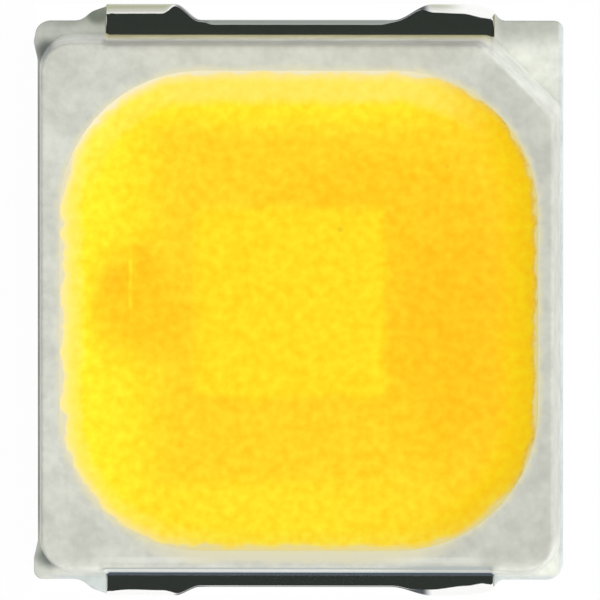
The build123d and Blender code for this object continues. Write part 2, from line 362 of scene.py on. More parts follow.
class HousingForm:
    """The outlines of the housing, in millimetres and degrees, from the sidebar's sizes."""

    flare = 0.022
    flare_length = 0.22
    flare_peak = 0.12
    flare_start_radius = 0.10
    flare_tip_radius = 0.06
    foot_radii = (0.05, 0.09, 0.055, 0.08)
    left_shoulder = 0.145
    right_shoulder = 0.035
    knee_run = 0.08
    knee_rise = 0.055
    left_tip_step = 0.012
    right_tip_step = 0.055
    shoulder_blend = 0.12
    side_draft = 3.5
    end_draft = 5.5
    chamfer_draft = 8.5
    chamfer_blend = 0.08
    cavity_slope = 18.8
    lip_bevel = 0.012
    lip_lean = 0.6
    fill_drop = 0.0005
    foot_round = 0.008
    notch_blend = 0.014
    lead_edge = 0.012

    def __init__(self, settings, leads):
        self.x = settings.foot_width / MM / 2
        self.y = settings.foot_length / MM / 2
        self.height = settings.height / MM
        self.foot = leads.thickness / MM
        self.half_lead = leads.width / MM / 2
        self.stub_reach = leads.stub_reach / MM
        self.settings = settings

    def foot_outline(self):
        """Foot with rounded corners, two flared corners and a shoulder at each lead corner."""
        x, y, lead = self.x, self.y, self.half_lead
        left, right = -lead - self.left_shoulder, lead + self.right_shoulder
        knee_x, knee_y = -lead - self.knee_run, y + self.knee_rise
        left_tip = self.stub_reach - self.left_tip_step
        right_tip = self.stub_reach - self.right_tip_step
        low_left, low_right, high_right, high_left = self.foot_radii
        blend = self.shoulder_blend
        return rounded_outline([
            (-x, -y + self.flare_length, self.flare_start_radius),
            (-x - self.flare, -y + self.flare_peak, self.flare_tip_radius),
            (-x - self.flare, -y, low_left),
            (left, -y, blend),
            (knee_x, -knee_y, blend),
            (-lead, -left_tip, 0),
            (lead, -right_tip, 0),
            (right, -y, blend / 2),
            (x, -y, low_right),
            (x, y, high_right),
            (right, y, blend / 2),
            (lead, right_tip, 0),
            (-lead, left_tip, 0),
            (knee_x, knee_y, blend),
            (left, y, blend),
            (-x, y, high_left),
            (-x - self.flare, y - self.flare_peak, self.flare_tip_radius),
            (-x, y - self.flare_length, self.flare_start_radius),
        ])

    def wall_outline(self, height, inset=0.0):
        """Upper wall with one cut corner at a height, from its three drafts and a further inset."""
        rise = height - self.foot
        inset_x = inset + rise * tan(radians(self.side_draft))
        inset_y = inset + rise * tan(radians(self.end_draft))
        inset_chamfer = inset + rise * tan(radians(self.chamfer_draft))
        x = self.x - self.settings.side_ledge / MM - inset_x
        y = self.y - self.settings.end_ledge / MM - inset_y
        leg = self.settings.chamfer / MM - inset_x - inset_y + inset_chamfer * 2**0.5
        radius = self.settings.wall_radius / MM - (inset_x + inset_y) / 2
        blend = self.chamfer_blend
        outline = rounded_outline([
            (-x, -y, radius), (x, -y, radius), (x, y - leg, blend), (x - leg, y, blend), (-x, y, radius),
        ])
        return outline + [0.0, self.settings.wall_offset / MM]

    def window_outline(self, inset):
        """Rounded square of the window, set in from its edge at the rim."""
        x = self.settings.window_width / MM / 2 - inset
        y = self.settings.window_length / MM / 2 - inset
        radius = self.settings.window_radius / MM - inset
        outline = rounded_outline([(-x, -y, radius), (x, -y, radius), (x, y, radius), (-x, y, radius)])
        return outline + self.window_centre()

    def window_centre(self):
        """Middle of the window."""
        return np.array([self.settings.window_x, self.settings.window_y]) / MM

    def lip_outline(self, inset=0.0):
        """The window where its bevelled lip meets the rim, and set in from there."""
        return self.window_outline(inset - self.lip_bevel * self.lip_lean)

    def cavity_outline(self, height):
        """The cavity's sloping wall at a height: the window, set in by its depth times the slope."""
        return self.window_outline((self.height - height) * tan(radians(self.cavity_slope)))


def housing_mesh(form):
    """The housing as rings: cavity floor, cavity wall, bevelled lip, rim, rounded edge, wall, foot.

    The rim's edge follows a quarter circle. The wall moves out by its height below the rim times the
    tangent of the draft, and over the leads it is set back by the notch's depth.
    """
    centre = np.zeros(2)
    foot = form.foot_outline()
    outlines = [foot, form.wall_outline(form.foot), form.window_outline(0.0)]
    rings = Rings(centre, ring_angles(outlines, centre))
    notch = form.settings.notch_depth / MM
    rim_round = form.settings.rim_round / MM
    foot_round = form.foot_round

    def wall_reach(height, extra=0.0):
        full = rings.distances(form.wall_outline(height, extra))
        notched = rings.distances(form.wall_outline(height, extra + notch))
        across = np.abs(full * np.cos(rings.angles))
        beside = smooth(across, form.half_lead - form.notch_blend, form.half_lead)
        return notched + (full - notched) * beside

    cavity_floor = rings.distances(form.cavity_outline(form.foot))
    rings.add_shares(cavity_floor, (0.2, 0.5, 0.8, 1.0), form.foot)
    for height in np.linspace(form.foot, form.height - form.lip_bevel, 12)[1:]:
        rings.add(rings.distances(form.cavity_outline(height)), height)
    inner = rings.distances(form.lip_outline())
    rings.add(inner, form.height)
    outer = wall_reach(form.height, rim_round)
    for share in np.linspace(0, 1, 9)[1:-1]:
        rings.add(inner + (outer - inner) * share, form.height)
    for inset, drop in quarter(rim_round, 8):
        rings.add(wall_reach(form.height, inset), form.height - drop)
    for height in np.linspace(form.height - rim_round, form.foot, 14)[1:]:
        rings.add(wall_reach(height), height)
    ledge = rings.distances(foot)
    base = wall_reach(form.foot)
    for share in (0.35, 0.7):
        rings.add(base + (ledge - foot_round - base) * share, form.foot)
    for inset, drop in quarter(foot_round, 4):
        rings.add(ledge - inset, form.foot - drop)
    for height in np.linspace(form.foot - foot_round, foot_round, 5)[1:]:
        rings.add(ledge, height)
    for height, inset in quarter(foot_round, 4)[1:]:
        rings.add(ledge - inset, height)
    rings.add_shares(ledge, (0.9, 0.7, 0.45, 0.2), 0.0)
    return rings.mesh("housing_moulding", form.foot, 0.0)


def cut(piece, cutter_data):
    """Takes the cutter's volume out of a piece, and leaves no modifier on it."""
    cutter = add_object("cutter", cutter_data)
    modifier = piece.modifiers.new("pocket", "BOOLEAN")
    modifier.operation = "DIFFERENCE"
    modifier.solver = "MANIFOLD"
    modifier.object = cutter
    graph = bpy.context.evaluated_depsgraph_get()
    result = bpy.data.meshes.new_from_object(piece.evaluated_get(graph))
    piece.modifiers.clear()
    old = piece.data
    piece.data = result
    bpy.data.meshes.remove(old)
    bpy.data.objects.remove(cutter)
    bpy.data.meshes.remove(cutter_data)


# Leads


class LeadForm:
    """The outlines of one lead, in millimetres. Side is 1 for the cathode and -1 for the anode.

    The rolls are knots along the lead's end: the place across it and the radius of the rolled edge.
    """

    left_stub = 0.39
    left_slope = 0.15
    right_stub = 0.36
    right_slope = 0.22
    shelf_overhang = 0.11
    shelf_thickness = 0.10
    shelf_cover = 0.21
    shelf_radius = 0.06
    lead_gap = 0.20
    anode_strip = 0.77
    edge_round = 0.010
    corner_run = 0.20
    corner_drop = 0.055
    shelf_break = 0.002
    roll_band = 0.17
    cathode_rolls = ((-1.11, 0.077), (-0.78, 0.075), (-0.715, 0.012), (-0.56, 0.012), (-0.50, 0.037),
                     (0.46, 0.037), (0.55, 0.012), (0.67, 0.014), (0.76, 0.066), (0.92, 0.074),
                     (1.03, 0.090), (1.11, 0.075))
    anode_rolls = ((-1.11, 0.034), (-0.98, 0.048), (-0.78, 0.042), (-0.68, 0.012), (0.60, 0.012),
                   (0.74, 0.050), (0.95, 0.080), (1.03, 0.084), (1.11, 0.045))

    def __init__(self, leads, housing, side, spare=0.0):
        self.side = side
        self.half = leads.width / MM / 2
        self.thickness = leads.thickness / MM
        self.shelf_z = self.thickness - self.shelf_thickness
        self.stub_reach = leads.stub_reach / MM + spare
        anode_inner = housing.foot_length / MM / 2 - self.anode_strip
        if side > 0:
            self.edge = leads.cathode_edge / MM + spare
            self.inner = self.lead_gap - anode_inner
            self.rolls = self.cathode_rolls
        else:
            self.edge = leads.anode_edge / MM + spare
            self.inner = anode_inner
            self.rolls = self.anode_rolls
        self.shelf_reach = housing.foot_length / MM / 2 - self.shelf_cover
        self.centre = np.array([0.0, side * (self.inner + self.shelf_reach) / 2])

    def turned(self, outline):
        """An outline drawn towards +Y, mirrored for the anode and still counterclockwise."""
        if self.side > 0:
            return outline
        return (outline * [1, -1])[::-1]

    def end_points(self):
        """The lead's end from right to left: stub, eased step, edge, eased step, stub.

        The right corner is a quarter of an ellipse.
        """
        right = self.half - self.right_stub
        left = -self.half + self.left_stub
        turn = np.linspace(0, pi / 2, 24)
        corner = np.stack([self.half - self.corner_run * (1 - np.cos(turn)),
                           self.stub_reach - self.corner_drop * (1 - np.sin(turn))], axis=1)
        return np.concatenate([
            corner,
            eased_step((right, self.stub_reach), (right - self.right_slope, self.edge)),
            eased_step((left + self.left_slope, self.edge), (left, self.stub_reach)),
            [[-self.half, self.stub_reach]],
        ])

    def bar_outline(self):
        """Solder bar: straight sides, from its hidden inner edge to the sheared end."""
        start = self.inner + self.shelf_overhang
        inner = np.array([[-self.half, start], [self.half, start]])
        return self.turned(np.concatenate([inner, self.end_points()]))

    def top_outline(self):
        """Upper face: the wide locking shelf inside the housing, then the bar to its end."""
        wide = self.half + self.shelf_overhang
        shelf = rounded_outline([
            (-self.half, self.shelf_reach, 0),
            (-wide, self.shelf_reach, self.shelf_radius),
            (-wide, self.inner, self.shelf_radius),
            (wide, self.inner, self.shelf_radius),
            (wide, self.shelf_reach, self.shelf_radius),
            (self.half, self.shelf_reach, 0),
        ])
        return self.turned(np.concatenate([shelf, self.end_points()]))

    def roll(self, points):
        """Drop of the rolled-over edge: r less the root of r squared less t squared.

        t is how far a point lies past the start of the roll, and r eases from knot to knot along the end.
        """
        x = points[:, 0]
        end = self.end_points()[::-1]
        edge_y = np.interp(x, end[:, 0], end[:, 1])
        places, radii = np.array(self.rolls).T
        radius = np.full(len(x), radii[0])
        for index in range(1, len(places)):
            radius += (radii[index] - radii[index - 1]) * smooth(x, places[index - 1], places[index])
        t = np.clip(np.abs(points[:, 1]) - (edge_y - radius), 0, radius)
        return radius - np.sqrt(radius**2 - t**2)

    def rings(self):
        """Rings about the lead's middle, none added yet, and how far its upper face and its bar reach."""
        top, bar = self.top_outline(), self.bar_outline()
        rings = Rings(self.centre, ring_angles([top, bar], self.centre))
        return rings, rings.distances(top), rings.distances(bar)


def lead_mesh(form):
    """A lead as rings: upper face, rolled and broken edge, shelf, solder bar and solder face."""
    rings, top, bar = form.rings()
    radius = form.edge_round
    rings.add_shares(top, (0.3, 0.6), form.thickness)
    for inset in form.roll_band * np.linspace(1, 0, 30) ** 2.2:
        distance = top - inset
        past = max(radius - inset, 0.0)
        broken = radius - (radius**2 - past**2) ** 0.5
        rolled = form.roll(form.centre + rings.ray * distance[:, None])
        rings.add(distance, form.thickness - np.maximum(rolled, broken))
    rings.add(top, form.shelf_z + form.shelf_break)
    rings.add(bar, form.shelf_z)
    for height in (0.08, 0.05, 0.02, radius):
        rings.add(bar, height)
    for height, inset in quarter(radius, 4)[1:]:
        rings.add(bar - inset, height)
    rings.add_shares(bar, (0.9, 0.6, 0.3), 0.0)
    name = "cathode_strip" if form.side > 0 else "anode_strip"
    return rings.mesh(name, form.thickness, 0.0)


# How far a cutter runs past the end of a lead, above it and below the solder face
POCKET_SPARE = 0.3
CUT_LIFT = 0.002
CUT_BOTTOM = -0.05


def pocket_mesh(form):
    """The space that a lead takes out of the housing, open past its end, top and bottom."""
    rings, top, bar = form.rings()
    rings.add(top, form.thickness + CUT_LIFT)
    rings.add(top, form.shelf_z + form.shelf_break)
    rings.add(bar, form.shelf_z)
    rings.add(bar, CUT_BOTTOM)
    return rings.mesh("pocket", form.thickness + CUT_LIFT, CUT_BOTTOM)


def gate_mesh(form, radius=0.13, depth=0.02):
    """A short plug for the moulding gate's mark between the leads: a disc with a rounded top edge."""
    angles = np.linspace(-pi, pi, 64, endpoint=False)
    rings = Rings(np.array([0.0, form.lead_gap / 2 - form.inner]), angles)
    for share, height in ((0.80, depth), (0.92, depth * 0.9), (0.98, depth * 0.6), (1.0, CUT_BOTTOM)):
        rings.add(np.full(len(angles), radius * share), height)
    return rings.mesh("gate", depth, CUT_BOTTOM)


# Silicone


def silicone_mesh(form, settings):
    """The silicone as rings: dished top, bevelled lip, cavity wall and floor.

    The silicone wets the lip up to the rim. Its top drops from there by the depth times 1 less
    (1 - t) cubed, where t is the distance from the edge over the width of the curved band.
    """
    centre = np.zeros(2)
    fill = form.height - form.fill_drop
    depth = settings.meniscus_depth / MM
    width = settings.meniscus_width / MM
    rings = Rings(centre, ring_angles([form.lip_outline()], centre))
    flat = rings.distances(form.lip_outline(width))
    rings.add_shares(flat, (0.15, 0.3, 0.45, 0.6, 0.75, 0.9), fill - depth)
    for inset in width * np.linspace(1, 0, 18)[1:] ** 1.5:
        drop = depth * (1 - (1 - inset / width) ** 3)
        rings.add(rings.distances(form.lip_outline(inset)), fill - drop)
    for height in np.linspace(form.height - form.lip_bevel, form.foot, 8):
        rings.add(rings.distances(form.cavity_outline(height)), height)
    rings.add_shares(rings.distances(form.cavity_outline(form.foot)), (0.7, 0.35), form.foot)
    return rings.mesh("silicone_fill", fill - depth, form.foot)


# Node trees


class Value:
    """A number that nodes work out at each point, so that sums of it can be written in plain signs."""

    def __init__(self, nodes, socket):
        self.nodes = nodes
        self.socket = socket

    def __add__(self, other):
        return self.nodes.math("ADD", self, other)

    def __sub__(self, other):
        return self.nodes.math("SUBTRACT", self, other)

    def __rsub__(self, other):
        return self.nodes.math("SUBTRACT", other, self)

    def __mul__(self, other):
        return self.nodes.math("MULTIPLY", self, other)

    def __truediv__(self, other):
        return self.nodes.math("DIVIDE", self, other)

    def __abs__(self):
        return self.nodes.math("ABSOLUTE", self)

    def root(self):
        """Its square root."""
        return self.nodes.math("SQRT", self)

    def at_least(self, other):
        """The larger of it and another."""
        return self.nodes.math("MAXIMUM", self, other)

    def at_most(self, other):
        """The smaller of it and another."""
        return self.nodes.math("MINIMUM", self, other)

    def step(self, low, high):
        """Smooth change from 0 at low to 1 at high. Low may be above high."""
        falls = low > high
        inputs = {"Value": self, "From Min": min(low, high), "From Max": max(low, high),
                  "To Min": float(falls), "To Max": float(not falls)}
        return self.nodes.value("ShaderNodeMapRange", inputs, interpolation_type="SMOOTHSTEP")

    def line(self, place, far, near):
        """1 nearer than near to a place, falling to 0 at far from it."""
        return abs(self - place).step(far, near)


def largest(first, *others):
    """The largest of several values."""
    for other in others:
        first = first.at_least(other)
    return first


def blob(x, y, centre, radii, inner=0.3):
    """1 in the middle of an ellipse, falling smoothly to 0 at its edge."""
    dx = (x - centre[0]) / radii[0]
    dy = (y - centre[1]) / radii[1]
    return (dx * dx + dy * dy).root().step(1.0, inner)


def box_distance(x, y, centre, half, radius):
    """Distance to a rounded rectangle, below zero inside it.

    With q the point's distance from the centre less the half size less the radius, it is the length
    of q's positive parts, plus the larger part of q where both are negative, less the radius.
    """
    qx = abs(x - centre[0]) - (half[0] - radius)
    qy = abs(y - centre[1]) - (half[1] - radius)
    px, py = qx.at_least(0.0), qy.at_least(0.0)
    outside = (px * px + py * py).root()
    return outside + qx.at_least(qy).at_most(0.0) - radius


def window_distance(x, y, housing, form):
    """Distance to the window's edge at the rim, below zero inside it."""
    half = (housing.window_width / MM / 2, housing.window_length / MM / 2)
    return box_distance(x, y, form.window_centre(), half, housing.window_radius / MM)


def opaque(colour_value):
    """A colour as a colour socket takes it: another socket, or red, green, blue and 1."""
    if isinstance(colour_value, bpy.types.NodeSocket):
        return colour_value
    return (*colour_value, 1.0)


class Nodes:
    """Adds nodes to one tree, with values, sockets or plain numbers as inputs."""

    def __init__(self, tree):
        self.tree = tree

    def node(self, kind, inputs=None, **settings):
        """A node of a kind, with its settings, and its inputs by name or number."""
        made = self.tree.nodes.new(kind)
        for key, value in settings.items():
            setattr(made, key, value)
        for key, value in (inputs or {}).items():
            self.feed(made.inputs[key], value)
        return made

    def feed(self, socket, value):
        """Links a socket to another, or sets its value."""
        if isinstance(value, Value):
            value = value.socket
        if isinstance(value, bpy.types.NodeSocket):
            self.tree.links.new(value, socket)
        else:
            socket.default_value = value

    def value(self, kind, inputs, **settings):
        """The first output of a node, as a value."""
        return Value(self, self.node(kind, inputs, **settings).outputs[0])

    def math(self, operation, first, second=0.0):
        """One sum of the Math node."""
        return self.value("ShaderNodeMath", {0: first, 1: second}, operation=operation)

    def seen(self):
        """1 for what the camera or a reflection sees, and 0 for light on the object."""
        path = self.node("ShaderNodeLightPath")
        return self.math("MAXIMUM", path.outputs["Is Camera Ray"], path.outputs["Is Glossy Ray"])


class Shade(Nodes):
    """One material, whose colour is painted on one layer after another."""

    def __init__(self, name, first_colour):
        self.material = bpy.data.materials.new(name)
        self.material.use_nodes = True
        super().__init__(self.material.node_tree)
        self.shader = self.tree.nodes["Principled BSDF"]
        self.colour = first_colour
        self.point = None

    def place(self):
        """The point's x, y and z on the object, in millimetres."""
        source = self.node("ShaderNodeTexCoord").outputs["Object"]
        scaled = self.node("ShaderNodeMapping", {"Vector": source, "Scale": (1 / MM, 1 / MM, 1 / MM)})
        self.point = scaled.outputs[0]
        split = self.node("ShaderNodeSeparateXYZ", {0: self.point})
        return [Value(self, socket) for socket in split.outputs]

    def noise(self, size, detail=2.0, roughness=0.5, point=None):
        """Noise from 0 to 1 with grains of about a size in millimetres."""
        inputs = {"Vector": point or self.point, "Scale": 1 / size}
        return self.value("ShaderNodeTexNoise", {**inputs, "Detail": detail, "Roughness": roughness})

    def mix(self, share, first, second):
        """Blends two colours."""
        inputs = {0: share, 6: opaque(first), 7: opaque(second)}
        return self.node("ShaderNodeMix", inputs, data_type="RGBA").outputs[2]

    def paint(self, share, colour_value):
        """Lays a colour over what is there."""
        self.colour = self.mix(share, self.colour, colour_value)

    def scaled(self, colour_value, tone):
        """A colour times one value."""
        inputs = {0: colour_value, "Scale": tone}
        return self.node("ShaderNodeVectorMath", inputs, operation="SCALE").outputs[0]

    def bump(self, height, strength, distance):
        """Feeds a bump, with its depth in millimetres, into the shader."""
        inputs = {"Strength": strength, "Distance": distance * MM, "Height": height}
        self.feed(self.shader.inputs["Normal"], self.node("ShaderNodeBump", inputs).outputs[0])

    def glow(self, colour_value):
        """The colour itself, at full strength and without shading."""
        return self.node("ShaderNodeEmission", {"Color": opaque(colour_value), "Strength": 1.0}).outputs[0]

    def surface(self, shader):
        """Shows a shader in place of the painted one."""
        self.feed(self.tree.nodes["Material Output"].inputs["Surface"], shader)

    def finish(self, **values):
        """Feeds the painted colour and other values to the shader. An underscore stands for a space."""
        self.feed(self.shader.inputs["Base Color"], opaque(self.colour))
        for name, value in values.items():
            self.feed(self.shader.inputs[name.replace("_", " ")], value)
        return self.material


# Moulding


def rim_colour(shade, settings, x, y):
    """The rim's top: duller at the right, beside the cathode, in the left corners and the cut one."""
    across = x + (shade.noise(0.5) - 0.5) * 0.8 - y.step(0.7, 1.3) * 0.6
    rim = shade.mix(across.step(-1.4, 1.5), settings.rim, settings.dull_rim)
    corners = abs(y).step(0.9, 1.2) * x.step(-0.9, -1.2)
    rim = shade.mix(corners * 0.55, rim, settings.dull_rim)
    rim = shade.mix(y.step(1.10, 1.35) * 0.85, rim, settings.flat_rim)
    return shade.mix(blob(x, y, (1.27, 1.22), (0.26, 0.22)) * 0.8, rim, settings.cut_rim)


def paint_cathode_wall(shade, settings, y, z, over_lead, top):
    """Wall over the cathode's strip: painted olive contact shade at its foot, then painted bounced light,
    then painted shade up to the rim and just over its edge.
    """
    wall = over_lead * y.step(1.44, 1.46)
    # Painted bounced light low on the wall
    shade.paint(wall * z.step(0.50, 0.36), settings.bounce)
    # Painted shade high on the wall
    shade.paint(wall * z.step(0.44, 0.54) * z.step(0.70, 0.685), settings.shade)
    # Painted olive contact shade at the wall's foot
    shade.paint(wall * z.step(0.33, 0.24), settings.olive)
    # Painted shade on the rim's edge over the cathode's wall
    shade.paint(over_lead * top * y.step(1.428, 1.480) * 0.75, settings.shade)


def paint_ledge(shade, settings, form, x, y, z):
    """Below the rim: painted light beside the anode, at the cut corner and a little at the left end, and
    painted shade beside the cathode's right stub and in the two left corners.
    """
    below_rim = z.step(form.height - 0.001, form.height - 0.02)
    # Painted light on the ledge beside the anode, at the cut corner and at the lower right corner
    anode_ledge = y.step(-1.45, -1.53) * abs(x).step(form.half_lead, form.half_lead + 0.03)
    cut_corner = blob(x, y, (1.40, 1.36), (0.42, 0.36), 0.6) * below_rim
    low_corner = blob(x, y, (1.47, -1.49), (0.15, 0.20)) * below_rim
    shade.paint(largest(anode_ledge, cut_corner, low_corner) * 0.9, settings.lit)
    # Painted highlight on the cut corner's wall
    facet_light = cut_corner * z.step(form.foot + 0.005, form.foot + 0.06)
    shade.paint(facet_light * 0.55, settings.facet_light)
    # A little painted light on the ledge at the left end
    left_end = y.step(1.44, 1.47) * y.step(1.540, 1.515) * x.step(-1.10, -1.20)
    shade.paint(left_end * below_rim * 0.25, settings.facet_light)
    # Painted shade below the rim beside the cathode's right stub
    right_end = y.step(1.41, 1.555) * x.step(1.08, 1.16)
    shade.paint(right_end * below_rim, settings.dim)
    # Painted shadow in the two left corners, on the ledge and the wall
    for corner, radii in (((-1.445, 1.425), (0.09, 0.09)), ((-1.430, -1.470), (0.11, 0.085))):
        shade.paint(blob(x, y, corner, radii) * below_rim, settings.corner)


def paint_foot_edges(shade, settings, form, x, y, z):
    """Painted shade on the left edges and the shoulder beside the cathode, and painted cool light on the
    others.
    """
    on_ledge = z.step(0.30, 0.22)
    shoulder = blob(x, y, (-1.155, 1.640), (0.12, 0.095), 0.35)
    foot_edge = z.step(form.foot - 0.0005, form.foot - 0.004) * 0.8
    # Painted shade on the top ledge's outer edge, the shoulder and the foot's rounded edge, at the left
    edge_shade_mask = largest(y.step(1.54, 1.60) * 0.50, shoulder, foot_edge)
    shade.paint(edge_shade_mask * on_ledge * x.step(-1.08, -1.12), settings.edge_shade)
    # Painted cool light along the foot's right and lower edges
    cool = largest(x.step(1.47, 1.485), y.step(-1.560, -1.584))
    shade.paint(cool * on_ledge * x.step(-1.46, -1.38) * 0.8, settings.cool)
    # Painted shade along the foot's left edge
    left_edge = x.step(-1.476, -1.492) * on_ledge * abs(y).step(1.36, 1.22)
    shade.paint(left_edge * 0.4, settings.edge_shade)


def paint_anode_side(shade, settings, x, y, z, over_lead, on_rim):
    """Wall over the anode's strip: a painted glint along the rim, a painted shade line under it, then painted
    light and painted cool light lower down.
    """
    # Painted glint along the rim above the anode's wall
    glint = y.line(-1.461, 0.024, 0.008) * on_rim * abs(x).step(1.20, 0.95) * abs(x).step(0.40, 0.75)
    shade.paint(glint * 0.3, settings.facet_light)
    # Painted shade line under the rim
    line = y.line(-1.516, 0.016, 0.006) * z.step(0.59, 0.62)
    right_line = y.line(-1.508, 0.020, 0.010) * x.step(0.40, 0.75) * z.step(0.52, 0.58)
    shade.paint(largest(line, right_line) * over_lead, settings.line)
    wall = over_lead * y.step(-1.45, -1.50)
    # Painted light high on the anode's wall
    shade.paint(wall * z.step(0.60, 0.56) * x.step(0.75, 0.35) * 0.8, settings.facet_light)
    # Painted cool light low on the anode's wall
    shade.paint(wall * z.step(0.46, 0.28) * 0.5, settings.cool)


def moulding_material(settings, form):
    """Matte white moulding: soft mottling, a painted yellow glow near the silicone, fine grain, and painted
    light and shade on its walls, ledge and edges.
    """
    shade = Shade("white_moulding", settings.body)
    x, y, z = shade.place()
    top = z.step(form.height - 0.03, form.height - 0.008)
    on_rim = z.step(form.height - 0.05, form.height - 0.01)
    over_lead = abs(x).step(form.half_lead + form.lead_edge, form.half_lead - form.lead_edge)
    # Painted shade on the upper wall at the right
    shade.paint(x.step(1.40, 1.44), settings.wall)
    shade.paint(top, rim_colour(shade, settings, x, y))
    paint_cathode_wall(shade, settings, y, z, over_lead, top)
    paint_ledge(shade, settings, form, x, y, z)
    paint_foot_edges(shade, settings, form, x, y, z)

    mottle = shade.noise(0.16, 3.0).step(0.35, 0.65)
    speckle = shade.noise(0.05).step(0.30, 0.70)
    tone = mottle * 0.13 + speckle * 0.09 + 0.89
    shade.colour = shade.scaled(shade.colour, tone)

    ragged = window_distance(x, y, settings, form) + (shade.noise(0.06, 3.0) - 0.5) * 0.05
    warm = largest(ragged.step(0.095, 0.055) * y.step(-1.15, -1.35), y.step(1.1, 1.3) * 0.25)
    shade.paint(warm * abs(x).step(1.05, 0.55) * on_rim, settings.warm)
    paint_anode_side(shade, settings, x, y, z, over_lead, on_rim)
    shade.paint(z.step(0.006, 0.001), shade.scaled(tuple(settings.body), tone))
    # Painted yellow glow on the rim near the window, dimmer on the right and lower sides
    shaded = largest(x.step(0.5, 1.2), y.step(-0.9, -1.3))
    glow_tint = shade.mix(shaded, settings.glow_tint, settings.shaded_glow_tint)
    shade.paint(ragged.step(0.050, -0.010) * on_rim, glow_tint)
    shade.bump(shade.noise(0.035, 4.0), strength=0.35, distance=0.004)
    return shade.finish(Roughness=0.55)


# Plating


def plating_material(settings):
    """Bright silver plating with faint drawn lines, duller and rougher where the edge rolls over, with
    painted dark reflections on its edges and a painted blue reflection against the anode's wall.
    """
    shade = Shade("silver_plating", settings.plating)
    x, y, z = shade.place()
    top = settings.thickness / MM
    half = settings.width / MM / 2
    above = z.step(0.002, 0.012)
    rolled = z.step(top - 0.0005, top - 0.012) * above
    right_start = x.step(0.72, 0.76) * x.step(0.96, 0.78)
    stub = largest(x.step(-0.68, -0.72), right_start * 0.6) * y.step(1.58, 1.62)
    shade.paint(rolled * stub, settings.worn)
    shade.paint(z.step(top - 0.013, top - 0.028) * stub * above, settings.tarnish)
    # Painted dark and grey reflection on the edge between the stubs
    between = x.step(0.76, 0.70) * x.step(-0.73, -0.69) * z.step(top - 0.0003, top - 0.0020) * above
    shade.paint(between, shade.mix(abs(x).step(0.50, 0.58), settings.grey, settings.dark))
    # Painted dark reflection on the lead's sides near the stubs
    side = abs(x).step(half - 0.011, half - 0.006) * abs(y).step(1.60, 1.55)
    shade.paint(side * above, settings.dark)
    # Painted blue reflection on the plating against the anode's wall, which is also made a little less
    # metallic
    blue_reflection = y.step(-1.578, -1.564) * y.step(-1.45, -1.50) * above
    shade.paint(blue_reflection, settings.blue_reflection)

    drawn = shade.node("ShaderNodeMapping", {"Vector": shade.point, "Scale": (0.12, 1.0, 1.0)}).outputs[0]
    lines = shade.noise(0.02, 3.0, point=drawn)
    solder_face = shade.mix(lines.step(0.3, 0.7), settings.drawn_dark, settings.drawn_light)
    shade.paint(z.step(0.012, 0.002), solder_face)
    gloss = shade.value("ShaderNodeMapRange", {"Value": lines, "To Min": 0.06, "To Max": 0.12})
    worn = y.step(1.45, 1.50) * abs(x).step(0.60, 0.48)
    shade.bump(lines, strength=0.12, distance=0.002)
    return shade.finish(Metallic=1.0 - blue_reflection * 0.25, Roughness=gloss + rolled * (worn * 0.25 + 0.12))


# Phosphor silicone


def paint_depth(shade, settings, x, y):
    """Deeper yellow at the right and above the chip, and lighter towards the other edges."""
    shade.paint(blob(x, y, (0.93, -0.12), (0.62, 1.10), 0.35), settings.deep)
    shade.paint(blob(x, y, (0.42, 0.63), (0.80, 0.34)) * 0.6, settings.deep)
    left = x.step(-0.62, -1.10)
    top = y.step(0.90, 1.12) * x.step(1.15, 0.5) * 0.8
    bottom = y.step(-0.92, -1.12) * x.step(1.35, -0.2) * 0.60
    shade.paint(largest(left, top, bottom), settings.light)


def paint_chips(shade, settings, x, y, wander):
    """The protection chip's warm spot and bright wire, and the chip's pale square with a painted shadow along
    its right and lower edges.
    """
    wx, wy = x + wander, y + wander
    shade.paint(blob(wx, wy, (-0.93, 0.0), (0.36, 0.48)) * 0.85, settings.deep)
    shade.paint(blob(wx, wy, (-0.72, -0.12), (0.26, 0.34), 0.2) * 0.4, settings.deep)
    for spot in ((-1.04, 0.13), (-0.87, 0.26)):
        shade.paint(blob(wx, wy, spot, (0.11, 0.13), 0.1) * 0.7, settings.spot)
    wire = x.line(-0.9485, 0.016, 0.004) * y.line(0.118, 0.21, 0.16) * shade.noise(0.07).step(0.25, 0.65)
    shade.paint(wire * 0.6, settings.light)
    chip = box_distance(x, y, (-0.050, 0.003), (0.560, 0.540), 0.06) + wander
    # Painted shadow along the chip's right and lower edges
    chip_shadow = chip.step(0.12, 0.03) * wx.step(-0.4, 0.5)
    low_chip_shadow = chip.step(0.10, 0.02) * wy.step(-0.40, -0.60)
    shade.paint(largest(chip_shadow, low_chip_shadow) * 0.45, settings.chip_shadow)
    shade.paint(chip.step(0.040, -0.044) * wx.step(-0.68, -0.50), settings.chip)


def paint_band(shade, settings, x, y, inward, rounds):
    """The pale band over the cavity's sloping wall, kept to the left, top and lower sides where painted light
    falls on that wall and thinner in the two left corners, and painted shade inside the right edge.
    """
    # Painted shade inside the right edge, on the shaded side of the cavity wall
    shade.paint(inward.step(0.26, 0.12) * x.step(0.6, 1.1), settings.right_band)
    # Pale band where the wall shows through, kept to the sides with painted light
    left = inward.step(0.15, 0.06) * x.step(-0.3, -1.0)
    top = inward.step(0.21, 0.13) * y.step(0.5, 1.1) * x.step(1.2, 0.6)
    bottom = inward.step(0.13, 0.02) * y.step(-0.8, -1.2) * 0.25
    band = largest(left, top, bottom) * (1.0 - rounds * 0.45)
    shade.paint(band, settings.pale)
    return band


